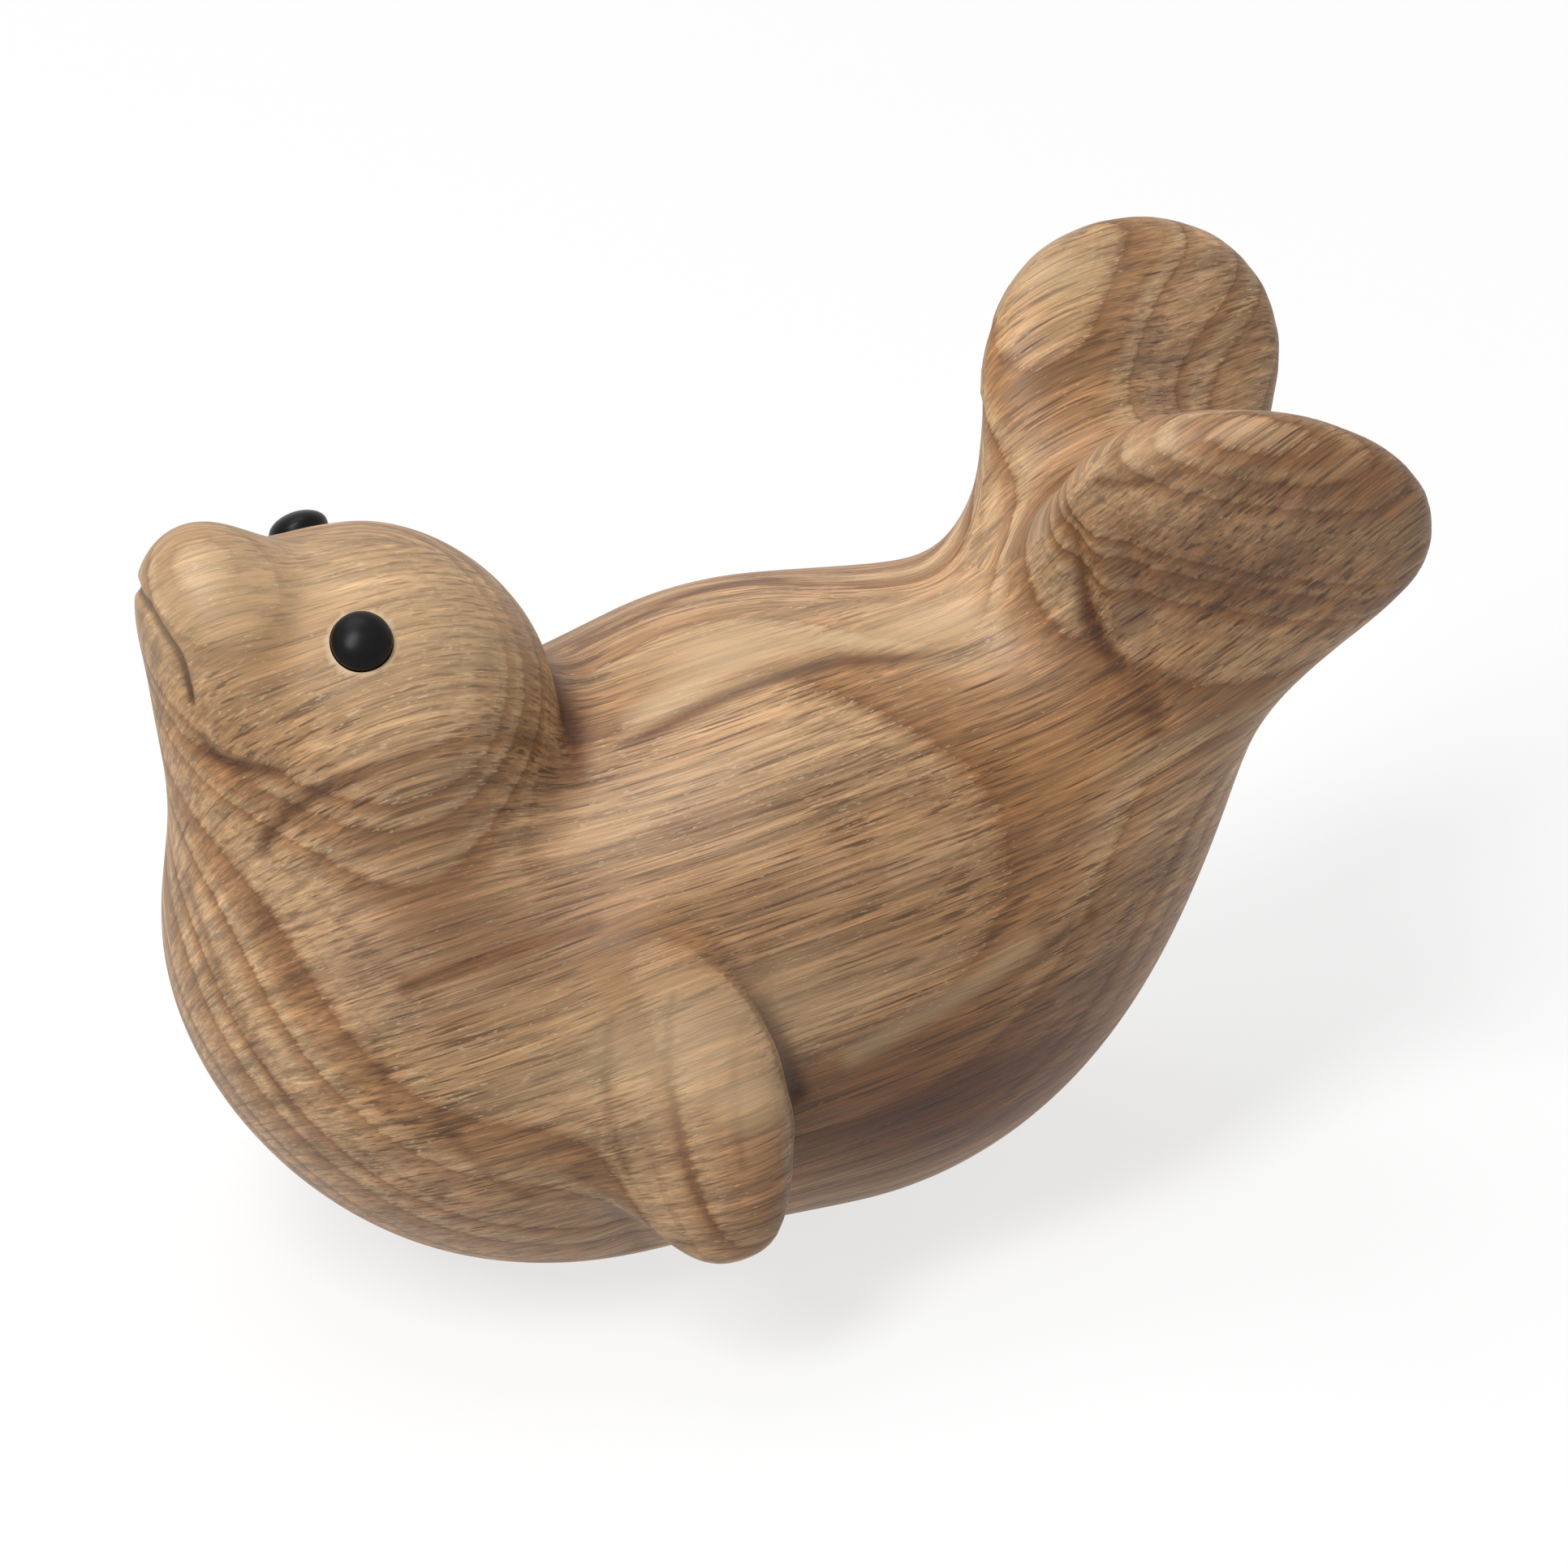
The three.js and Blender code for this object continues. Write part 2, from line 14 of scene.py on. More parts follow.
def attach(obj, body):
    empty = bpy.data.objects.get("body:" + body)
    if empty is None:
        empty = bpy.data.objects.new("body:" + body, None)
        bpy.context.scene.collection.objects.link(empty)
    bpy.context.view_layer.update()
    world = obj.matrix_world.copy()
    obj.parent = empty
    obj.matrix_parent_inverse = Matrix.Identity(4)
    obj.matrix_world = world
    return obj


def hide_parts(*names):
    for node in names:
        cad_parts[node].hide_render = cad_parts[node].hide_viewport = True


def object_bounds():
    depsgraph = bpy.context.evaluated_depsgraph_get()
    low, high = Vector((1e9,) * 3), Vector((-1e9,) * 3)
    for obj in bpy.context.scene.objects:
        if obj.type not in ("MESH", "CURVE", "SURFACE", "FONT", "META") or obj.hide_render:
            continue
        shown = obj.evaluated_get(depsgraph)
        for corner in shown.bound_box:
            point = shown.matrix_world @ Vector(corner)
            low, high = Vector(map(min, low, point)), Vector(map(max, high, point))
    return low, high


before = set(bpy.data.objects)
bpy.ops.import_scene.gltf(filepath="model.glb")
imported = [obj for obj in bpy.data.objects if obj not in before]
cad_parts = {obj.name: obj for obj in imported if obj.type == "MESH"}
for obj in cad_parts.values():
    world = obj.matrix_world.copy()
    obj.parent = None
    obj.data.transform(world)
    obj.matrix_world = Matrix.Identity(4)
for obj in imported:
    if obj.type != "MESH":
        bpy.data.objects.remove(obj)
cad_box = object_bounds()

MM = 0.001

# Camera: the photograph is 1932 pixels square, and the seal is drawn at 10.87 pixels to the millimetre
PHOTO_SIZE = 1932
PHOTO_PIXELS_PER_MM = 10.87
CAMERA_AZIMUTH = math.radians(17.5)
CAMERA_ELEVATION = math.radians(30)
CAMERA_DISTANCE = 1100 * MM
CAMERA_TARGET = Vector((-3.11, 0, 50.97)) * MM
SENSOR_WIDTH = 36

# Light: the paper is part lit by the lamps and part bright by itself, so that the shadow stays pale
KEY_DIRECTION = (0.5, 0.35, 0.79)
KEY_SIZE = 0.5, 1.2
KEY_POWER = 30
TOP_DIRECTION = (0.15, -0.3, 0.94)
TOP_SIZE = 1.2, 1.2
TOP_POWER = 10
LAMP_DISTANCE = 2.0
ROOM_LIGHT = 0.26
PAPER_LIT = 0.28
PAPER_GLOW = 0.73
PAPER_BOUNCE = 0.3
PAPER_SIZE = 6
WHITE = "#ffffff"

# How far the surface faces along the log towards the head, from side grain to end grain
END_GRAIN_FROM = 0.5
END_GRAIN_FULL = 0.85

# How much curvature, per metre, counts as a hollow that gets painted shade, and the passes that spread it
HOLLOW_FROM = 12
HOLLOW_FULL = 72
HOLLOW_BLUR = 6

# Eyes: the solid's skirt is known by its share of the radius, and its peg by its share of the depth
EYE_SEGMENTS = 64
EYE_RINGS = 32
EYE_SHARP_EDGE = math.radians(40)
SAME_POINT_DIGITS = 7
SKIRT_SHARE = 0.99
PEG_SHARE = 0.6
UNDERSIDE_NORMAL = -0.9
BEAD_BLACK = "#050506"
BEAD_BLOOM = "#0c0c0d"
BLOOM_SIZE = 1.6 * MM

# The mould's real grit is finer than this: it is drawn as coarse as it needs to show
GRIT_SIZE = 0.25 * MM
GRIT_RELIEF = 0.02 * MM

# Sockets: the gap round the eye, how far the drill reaches out, the bare rim, and the patch that is redrawn
SOCKET_GAP = 0.12 * MM
SOCKET_REACH = 4 * MM
SOCKET_RIM = 0.3 * MM
PLUG_MARGIN = 0.6 * MM

# Wood: the log lies along X, and its pith passes just outside the seal's right flank, low down
GRAIN_TILT = math.radians(11)
PITH = Vector((0, -52, -3)) * MM
LOG_WAVE = 70 * MM
LOG_WAVE_DEPTH = 9 * MM
TAIL_BEND_UP = 1.2
TAIL_BEND_IN = 1.2
RING_WIDTH = 4.8 * MM
RING_FRAY = 1.0 * MM
RING_SWING = 2.0
RING_SWING_RATE = 0.6
HAIRLINES = 3
VESSEL_LENGTH = 18 * MM
VESSEL_WIDTH = 0.6 * MM
RAY_LENGTH = 14 * MM
RAY_DEPTH = 26 * MM
RAY_WIDTH = 0.7 * MM

# Relief of the fibres, and how deep rays and vessels sink, as shares of it
GRAIN_RELIEF = 0.1 * MM
RAY_SINK = 0.5
VESSEL_SINK = 0.8

# Streaks along the grain: length and width, as they are at the ring's radius, and a ribbon's depth in widths
# Real fibres are finer than this: they are drawn as coarse as they need to show
GRAIN = {
    "zone": (48 * MM, 13 * MM),
    "band": (40 * MM, 2.2 * MM),
    "streak": (16 * MM, 0.6 * MM),
    "fibre": (8 * MM, 0.2 * MM),
    "line": (11 * MM, 0.32 * MM),
    "fleck": (1.2 * MM, 0.2 * MM),
}
RING_RADIUS = 105 * MM
RIBBON = 6

# Shade of the streaks, from their darkest to their lightest
SHADES = {"band": (0.74, 1.22), "streak": (0.66, 1.28), "fibre": (0.72, 1.22)}

# Colour through a year of growth, from one dark edge to the next
YEAR_EDGE = "#8b5f3b"
YEAR = (0.14, "#c29d74"), (0.36, "#cba880"), (0.65, "#b58b62"), (0.92, "#9a6f48")

# Colours in the wood, and the tints multiplied in for painted shade in the hollows, and for stains together
# with painted shade in the creases and on shaded sides
FAINT_YEAR = "#b9906a"
WARM_ZONE = "#ac7c4b"
RAY_DARK = "#5f4127"
LINE_DARK = "#5c3d24"
EMPTY_VESSEL = "#523520"
FILLED_VESSEL = "#dcc7a6"
HOLLOW_SHADE_TINT = "#9c7c64"
STAIN_AND_SHADE_TINT = "#8b6a48"
# Paler wood and painted light on lit faces are mixed towards this colour
PALE_WOOD_AND_LIGHT = "#d9bc94"
BARE_WOOD = "#d8bc98"

# Carving marks, along pixels of the photograph: path, depth, half width, darkening, fading
# A ridge has a depth below 0
# Their darkening is painted shade in the grooves
MOUTH = (
    ((168, 722), (185, 752), (203, 785), (220, 808), (229, 838), (234, 864)), 0.8 * MM, 0.75 * MM, 1.0, 0.3)
MOUTH_CORNER = ((232, 848), (236, 870)), 0.6 * MM, 0.5 * MM, 1.0, 0.3
JAW = ((286, 946), (262, 935), (240, 905)), 1.0 * MM, 1.1 * MM, 0.9, 0.4
JAW_FOLD = ((286, 946), (324, 955), (356, 950)), 1.0 * MM, 1.2 * MM, 0.9, 0.4
MUZZLE = ((352, 770), (335, 842), (330, 880)), 0.4 * MM, 2.6 * MM, 0.3, 0.6
MUZZLE_TOP = ((352, 770), (372, 705), (380, 680)), 0.3 * MM, 2.2 * MM, 0.25, 0.6
NECK = ((682, 826), (690, 850), (704, 905), (720, 950), (735, 985)), 0.5 * MM, 1.5 * MM, 0.4, 0.8
HIND_VALLEY = ((1340, 765), (1346, 781), (1387, 831), (1416, 860), (1425, 900)), 1.2 * MM, 1.8 * MM, 0.6, 0.5
HIND_VALLEY_TOP = ((1340, 765), (1329, 727), (1321, 665), (1322, 640)), 1.2 * MM, 1.8 * MM, 0.6, 0.5
HIND_FOLD = ((1385, 770), (1365, 720), (1350, 665), (1342, 625)), -0.7 * MM, 1.5 * MM, 0, 0.4
HIND_RIDGE = (
    ((1425, 880), (1420, 830), (1408, 760), (1392, 690), (1372, 640), (1352, 592)),
    0.6 * MM, 1.8 * MM, 0.5, 0.6)
HIND_RIM = ((1352, 592), (1392, 598), (1440, 590), (1500, 572), (1574, 534)), 0.2 * MM, 0.8 * MM, 0.8, 0.3
# Its darkening is a painted shadow cast by the flipper's rear rim on the flank
FRONT_REAR = (
    ((980, 1350), (970, 1312), (956, 1270), (935, 1232), (906, 1194), (868, 1158)),
    0.9 * MM, 1.1 * MM, 0.8, 0.4)
FRONT_VALLEY = ((790, 1536), (768, 1505), (741, 1450), (713, 1366)), 0.5 * MM, 2.0 * MM, 0.4, 0.4
CREASES = (
    MOUTH, MOUTH_CORNER, JAW, JAW_FOLD, MUZZLE, MUZZLE_TOP, NECK, HIND_VALLEY, HIND_VALLEY_TOP, HIND_RIDGE,
    HIND_RIM, FRONT_REAR, FRONT_VALLEY, HIND_FOLD)
MOUTH_AREA = 3 * MM

# Each corner of a path is cut at this share of its runs, and the corners of that again
CORNER_CUT = 0.25
CORNER_PASSES = 2

# Surface: how the solid's facets become quads, the size of the faces drawn over them, and smoothing passes
WELD_DISTANCE = 0.001 * MM
QUAD_ANGLE = math.radians(50)
FACE_SIZE = 0.76 * MM
BODY_SMOOTHING = 28
TAIL_SMOOTHING = 130
WOOD_SHARP_EDGE = math.radians(45)

# Where along X the tail's own smoothing starts, and where it is full
TAIL_FROM = -22 * MM
TAIL_FULL = -34 * MM

# Bands of the wood's own figure, along pixels of the photograph: path, half width, darkening
# A pale band has a darkening below 0
FIGURE = {
    "throat": (
        ((690, 925), (610, 905), (520, 925), (430, 955), (372, 990), (335, 1015), (318, 1060)),
        1.0 * MM, 0.85),
    "shoulder": (((480, 1222), (560, 1195), (640, 1168), (760, 1132)), 1.8 * MM, 0.9),
    "back": (((750, 925), (850, 880), (960, 832), (1060, 812), (1110, 812), (1230, 782)), 1.1 * MM, 1.0),
    "back, pale": (
        ((760, 895), (850, 845), (950, 800), (1040, 785), (1100, 790), (1215, 758)), 2.0 * MM, -0.6),
    "hind rim, pale": (((1378, 566), (1410, 552), (1450, 540)), 1.5 * MM, -0.3),
    "nape": (((700, 800), (780, 765), (880, 722), (980, 715)), 1.2 * MM, 0.8),
    "flank": (((1020, 1334), (1109, 1286), (1192, 1241), (1288, 1174), (1336, 1123)), 1.0 * MM, 0.75),
    "flank, pale": (((1030, 1312), (1110, 1266), (1192, 1218), (1285, 1150)), 1.6 * MM, -0.35),
    "front flipper": (
        ((833, 1205), (822, 1270), (827, 1347), (838, 1413), (860, 1479), (888, 1523)), 0.8 * MM, 0.7),
    "front flipper, ahead": (((756, 1230), (745, 1320), (752, 1391), (780, 1460)), 0.9 * MM, 0.6),
    "front flipper, behind": (((912, 1250), (902, 1325), (908, 1391), (915, 1450)), 0.8 * MM, 0.6),
    "chest, front": (
        ((229, 1073), (251, 1150), (290, 1243), (323, 1303), (361, 1369), (416, 1435)), 0.9 * MM, 0.45),
    "chest, top": (((312, 1110), (352, 1190), (380, 1240)), 1.8 * MM, 0.45),
    "chest, side": (((440, 1240), (472, 1300), (480, 1380)), 0.9 * MM, 0.4),
    "chest, low": (((531, 1369), (575, 1418), (619, 1462), (674, 1479)), 1.0 * MM, 0.5),
}

# Share of a band's path over which it fades at each end
FIGURE_FADE = 0.15

# Dark and pale places, at pixels of the photograph: pixel, radius, strength. The dark ones are darker wood,
# knots and pits, and on the sides turned from the light also painted shade; the pale ones are paler wood,
# and on faces turned to the light also painted light
# They are drawn out along the grain
STAINS_AND_SHADE = {
    "flank, low": ((1170, 1360), 16 * MM, 1.0),
    "flank, behind": ((1350, 1230), 10 * MM, 0.65),
    "flank, middle": ((1000, 1130), 15 * MM, 0.45),
    "flank, high": ((1180, 1000), 10 * MM, 0.35),
    "shoulder": ((600, 1150), 10 * MM, 0.6),
    "hind flipper": ((1520, 710), 12 * MM, 0.65),
    "hind tip": ((1640, 600), 9 * MM, 0.6),
    "hind rim": ((1500, 545), 4 * MM, 0.35),
    "hind root": ((1400, 850), 6 * MM, 0.45),
    "neck": ((700, 970), 5 * MM, 0.25),
    "lip": ((174, 762), 2 * MM, 0.7),
    "lip, low": ((190, 800), 1.5 * MM, 0.5),
    "flank pit, ahead": ((1000, 1307), 1.1 * MM, 0.9),
    "flank pit, middle": ((1031, 1331), 1.0 * MM, 0.9),
    "flank pit, behind": ((1345, 1128), 0.9 * MM, 0.9),
    "root pit, high": ((1411, 877), 0.9 * MM, 0.9),
    "root pit, low": ((1425, 902), 0.9 * MM, 0.9),
}
# Paler wood, and painted light on the faces turned to the light
PALE_AND_LIT = {
    "muzzle": ((300, 720), 9 * MM, 0.45),
    "cheek": ((560, 760), 10 * MM, 0.35),
    "front flipper": ((840, 1300), 8 * MM, 0.45),
    "front flipper, behind": ((930, 1350), 4 * MM, 0.5),
    "back": ((900, 800), 5 * MM, 0.6),
    "rump": ((1150, 770), 4 * MM, 0.6),
    "far hind flipper": ((1305, 335), 3.2 * MM, 0.45),
}
STAIN_STRETCH = 2.2


def linear(code, alpha=1.0):
    """An sRGB hex colour as linear values."""
    channels = [int(code[i:i + 2], 16) / 255 for i in (1, 3, 5)]
    curve = [c / 12.92 if c <= 0.04045 else ((c + 0.055) / 1.055) ** 2.4 for c in channels]
    return (*curve, alpha)


def add(tree, kind, settings=None, inputs=None):
    """Adds a shader node: settings are its properties, inputs are values or the sockets that feed it."""
    made = tree.nodes.new("ShaderNode" + kind)
    for name, value in (settings or {}).items():
        setattr(made, name, value)
    for name, value in (inputs or {}).items():
        if isinstance(value, bpy.types.NodeSocket):
            tree.links.new(value, made.inputs[name])
        else:
            made.inputs[name].default_value = value
    return made


def blank_material(name):
    made = bpy.data.materials.new(name)
    made.use_nodes = True
    made.node_tree.nodes.clear()
    return made


def oiled_oak():
    """Oak, carved, sanded and oiled: growth rings with dark edges, fine fibres, dark and pale vessels along
    the grain, and thin dark rays that cross the rings on the end grain."""
    made = blank_material("oiled_oak")
    tree = made.node_tree
    place = add(tree, "TexCoord").outputs["Object"]
    log = add(tree, "Mapping", {"vector_type": "TEXTURE"}, {
        "Vector": place, "Location": PITH, "Rotation": (0, GRAIN_TILT, 0)}).outputs[0]

    # The log isn't straight: slow waves bend the rings and the grain, which rises towards the tail
    wave = add(tree, "TexNoise", {}, {
        "Vector": log, "Scale": 1 / LOG_WAVE, "Detail": 1.0, "Roughness": 0.4}).outputs["Color"]
    wave = add(tree, "VectorMath", {"operation": "SUBTRACT"}, {0: wave, 1: (0.5, 0.5, 0.5)}).outputs[0]
    wave = add(tree, "VectorMath", {"operation": "MULTIPLY"}, {
        0: wave, 1: (0, LOG_WAVE_DEPTH, LOG_WAVE_DEPTH)}).outputs[0]
    bent = add(tree, "VectorMath", {"operation": "ADD"}, {0: log, 1: wave}).outputs[0]
    tail = add(tree, "VectorMath", {"operation": "MINIMUM"}, {0: log, 1: (0, 0, 0)}).outputs[0]
    tail = add(tree, "VectorMath", {"operation": "DOT_PRODUCT"}, {0: tail, 1: (1, 0, 0)}).outputs["Value"]
    tail = add(tree, "Math", {"operation": "POWER"}, {0: tail, 1: 2.0}).outputs[0]
    bent = add(tree, "VectorMath", {"operation": "MULTIPLY_ADD"}, {
        0: tail, 1: (0, TAIL_BEND_IN, -TAIL_BEND_UP), 2: bent}).outputs[0]
    axes = add(tree, "SeparateXYZ", {}, {0: bent})
    cross = add(tree, "VectorMath", {"operation": "MULTIPLY"}, {0: bent, 1: (0, 1, 1)}).outputs[0]
    radius = add(tree, "VectorMath", {"operation": "LENGTH"}, {0: cross}).outputs["Value"]

    # Both flanks show the same kind of grain, so its coordinates are mirrored where the wood faces right
    right = add(tree, "Attribute", {"attribute_name": "right"}).outputs["Fac"]
    right = add(tree, "Math", {"operation": "GREATER_THAN"}, {0: right, 1: 0.5}).outputs[0]
    mirrored = add(tree, "Math", {"operation": "SUBTRACT"}, {0: -2 * PITH.y, 1: axes.outputs[1]}).outputs[0]
    aside = add(tree, "Mix", {}, {0: right, 2: axes.outputs[1], 3: mirrored}).outputs[0]
    angle = add(tree, "Math", {"operation": "ARCTAN2"}, {0: axes.outputs[2], 1: aside}).outputs[0]
    around = add(tree, "Math", {"operation": "MULTIPLY"}, {0: angle, 1: RING_RADIUS}).outputs[0]
    outward = add(tree, "CombineXYZ", {}, {1: aside, 2: axes.outputs[2]}).outputs[0]
    outward = add(tree, "VectorMath", {"operation": "LENGTH"}, {0: outward}).outputs["Value"]
    polar = add(tree, "CombineXYZ", {}, {0: axes.outputs[0], 1: outward, 2: around}).outputs[0]

    # Streaks along the grain, from broad zones to single fibres, each a ribbon that lies out from the pith
    grain = {}
    for name, (length, width) in GRAIN.items():
        drawn = add(tree, "VectorMath", {"operation": "MULTIPLY"}, {
            0: polar, 1: (1 / length, 1 / (width * RIBBON), 1 / width)}).outputs[0]
        grain[name] = add(tree, "TexNoise", {}, {
            "Vector": drawn, "Scale": 1.0, "Detail": 2.0}).outputs["Fac"]

    # Growth rings: each year runs from a pale start to a dark edge, some years fainter than others
    frayed = add(tree, "Math", {"operation": "MULTIPLY_ADD"}, {
        0: grain["streak"], 1: RING_FRAY, 2: radius}).outputs[0]
    years = add(tree, "Math", {"operation": "DIVIDE"}, {0: frayed, 1: RING_WIDTH}).outputs[0]
    swing = add(tree, "TexNoise", {"noise_dimensions": "1D"}, {
        "W": years, "Scale": RING_SWING_RATE, "Detail": 1.0}).outputs["Fac"]
    years = add(tree, "Math", {"operation": "MULTIPLY_ADD"}, {0: swing, 1: RING_SWING, 2: years}).outputs[0]
    year = add(tree, "Math", {"operation": "FLOOR"}, {0: years}).outputs[0]
    season = add(tree, "Math", {"operation": "FRACT"}, {0: years}).outputs[0]
    weather = add(tree, "TexWhiteNoise", {"noise_dimensions": "1D"}, {"W": year}).outputs["Value"]
    rings = add(tree, "ValToRGB", {}, {0: season})
    stops = rings.color_ramp.elements
    stops[0].color = linear(YEAR_EDGE)
    stops[1].color = linear(YEAR_EDGE)
    for stop, code in YEAR:
        stops.new(stop).color = linear(code)
    end = add(tree, "Attribute", {"attribute_name": "end"}).outputs["Fac"]
    side = add(tree, "MapRange", {}, {"Value": end, "To Min": 1.0, "To Max": 0.25}).outputs[0]
    faint = add(tree, "MapRange", {}, {"Value": weather, "To Min": 0.1, "To Max": 0.75}).outputs[0]
    faint = add(tree, "Math", {"operation": "MULTIPLY"}, {0: faint, 1: side}).outputs[0]
    wood = add(tree, "Mix", {"data_type": "RGBA"}, {
        0: faint, 6: rings.outputs[0], 7: linear(FAINT_YEAR)}).outputs[2]

    # Hairlines within each year
    fine = add(tree, "Math", {"operation": "MULTIPLY"}, {0: years, 1: HAIRLINES}).outputs[0]
    fine = add(tree, "Math", {"operation": "FRACT"}, {0: fine}).outputs[0]
    fine = add(tree, "MapRange", {"interpolation_type": "SMOOTHSTEP"}, {
        "Value": fine, "From Min": 0.8, "From Max": 1.0, "To Min": 0.0, "To Max": 0.22}).outputs[0]
    wood = add(tree, "Mix", {"data_type": "RGBA"}, {0: fine, 6: wood, 7: linear(YEAR_EDGE)}).outputs[2]

    # Warmer zones, then the streaks as light and shade
    glow = add(tree, "MapRange", {"interpolation_type": "SMOOTHSTEP"}, {
        "Value": grain["zone"], "From Min": 0.42, "From Max": 0.7, "To Min": 0.0, "To Max": 0.5}).outputs[0]
    wood = add(tree, "Mix", {"data_type": "RGBA"}, {0: glow, 6: wood, 7: linear(WARM_ZONE)}).outputs[2]
    for name, (low, high) in SHADES.items():
        shade = add(tree, "MapRange", {}, {
            "Value": grain[name], "From Min": 0.3, "From Max": 0.7,
            "To Min": low, "To Max": high}).outputs[0]
        wood = add(tree, "Mix", {"data_type": "RGBA", "blend_type": "MULTIPLY"}, {
            0: 1.0, 6: wood, 7: shade}).outputs[2]

    # Rays: thin dark sheets out from the pith, seen as long hairlines on the end grain
    sheet = add(tree, "VectorMath", {"operation": "MULTIPLY"}, {
        0: polar, 1: (1 / RAY_LENGTH, 1 / RAY_DEPTH, 1 / RAY_WIDTH)}).outputs[0]
    ray = add(tree, "TexVoronoi", {}, {"Vector": sheet, "Scale": 1.0}).outputs["Distance"]
    ray = add(tree, "MapRange", {"interpolation_type": "SMOOTHSTEP"}, {
        "Value": ray, "From Min": 0.08, "From Max": 0.28, "To Min": 0.6, "To Max": 0.0}).outputs[0]
    shown = add(tree, "MapRange", {}, {"Value": end, "To Min": 0.3, "To Max": 1.0}).outputs[0]
    ray = add(tree, "Math", {"operation": "MULTIPLY"}, {0: ray, 1: shown}).outputs[0]

    # Fine dark lines and a few wider open vessels along the grain, and short pale pieces where one is filled
    line = add(tree, "MapRange", {"interpolation_type": "SMOOTHSTEP"}, {
        "Value": grain["line"], "From Min": 0.34, "From Max": 0.46,
        "To Min": 0.85, "To Max": 0.0}).outputs[0]
    line = add(tree, "Math", {"operation": "MULTIPLY"}, {0: line, 1: side}).outputs[0]
    dense = add(tree, "MapRange", {}, {
        "Value": grain["zone"], "From Min": 0.35, "From Max": 0.6, "To Min": 0.5, "To Max": 1.0}).outputs[0]
    line = add(tree, "Math", {"operation": "MULTIPLY"}, {0: line, 1: dense}).outputs[0]
    tube = add(tree, "VectorMath", {"operation": "MULTIPLY"}, {
        0: polar, 1: (1 / VESSEL_LENGTH, 1 / (VESSEL_WIDTH * RIBBON), 1 / VESSEL_WIDTH)}).outputs[0]
    vessels = add(tree, "TexVoronoi", {}, {"Vector": tube, "Scale": 1.0})
    bore = add(tree, "MapRange", {"interpolation_type": "SMOOTHSTEP"}, {
        "Value": vessels.outputs["Distance"], "From Min": 0.1, "From Max": 0.3,
        "To Min": 1.0, "To Max": 0.0}).outputs[0]
    lot = add(tree, "SeparateColor", {}, {0: vessels.outputs["Color"]}).outputs[0]
    empty = add(tree, "MapRange", {}, {
        "Value": lot, "From Min": 0.1, "From Max": 0.45, "To Min": 0.9, "To Max": 0.0}).outputs[0]
    empty = add(tree, "Math", {"operation": "MULTIPLY"}, {0: empty, 1: bore}).outputs[0]
    empty = add(tree, "Math", {"operation": "MULTIPLY"}, {0: empty, 1: side}).outputs[0]
    crowd = add(tree, "MapRange", {"interpolation_type": "SMOOTHSTEP"}, {
        "Value": season, "From Min": 0.2, "From Max": 0.7, "To Min": 0.6, "To Max": 0.67}).outputs[0]
    filled = add(tree, "Math", {"operation": "SUBTRACT"}, {0: grain["fleck"], 1: crowd}).outputs[0]
    filled = add(tree, "MapRange", {"interpolation_type": "SMOOTHSTEP"}, {
        "Value": filled, "From Min": 0.0, "From Max": 0.08, "To Min": 0.0, "To Max": 0.55}).outputs[0]
    for amount, colour in (
            (ray, RAY_DARK), (line, LINE_DARK), (empty, EMPTY_VESSEL), (filled, FILLED_VESSEL)):
        wood = add(tree, "Mix", {"data_type": "RGBA"}, {0: amount, 6: wood, 7: linear(colour)}).outputs[2]

    # Painted shade darkens the hollows; darker wood and figure, with painted shade in the creases and on the
    # sides turned from the light, darken it further; paler wood, with painted light on faces turned to the
    # light, lightens it; and the sockets' rims are bare
    for name, colour in (("hollow", HOLLOW_SHADE_TINT), ("stain_and_shade", STAIN_AND_SHADE_TINT)):
        depth = add(tree, "Attribute", {"attribute_name": name}).outputs["Fac"]
        wood = add(tree, "Mix", {"data_type": "RGBA", "blend_type": "MULTIPLY"}, {
            0: depth, 6: wood, 7: linear(colour)}).outputs[2]
    for name, colour in (("pale", PALE_WOOD_AND_LIGHT), ("bare", BARE_WOOD)):
        depth = add(tree, "Attribute", {"attribute_name": name}).outputs["Fac"]
        wood = add(tree, "Mix", {"data_type": "RGBA"}, {0: depth, 6: wood, 7: linear(colour)}).outputs[2]

    rough = add(tree, "MapRange", {}, {"Value": grain["fibre"], "To Min": 0.4, "To Max": 0.62}).outputs[0]
    height = grain["fibre"]
    for amount, sink in ((ray, RAY_SINK), (empty, VESSEL_SINK)):
        height = add(tree, "Math", {"operation": "MULTIPLY_ADD"}, {
            0: amount, 1: -sink, 2: height}).outputs[0]
    bump = add(tree, "Bump", {}, {"Height": height, "Strength": 0.5, "Distance": GRAIN_RELIEF}).outputs[0]
    finish = add(tree, "BsdfPrincipled", {}, {
        "Base Color": wood, "Roughness": rough, "Normal": bump, "IOR": 1.5, "Specular IOR Level": 0.4})
    add(tree, "OutputMaterial", {}, {"Surface": finish.outputs[0]})
    return made


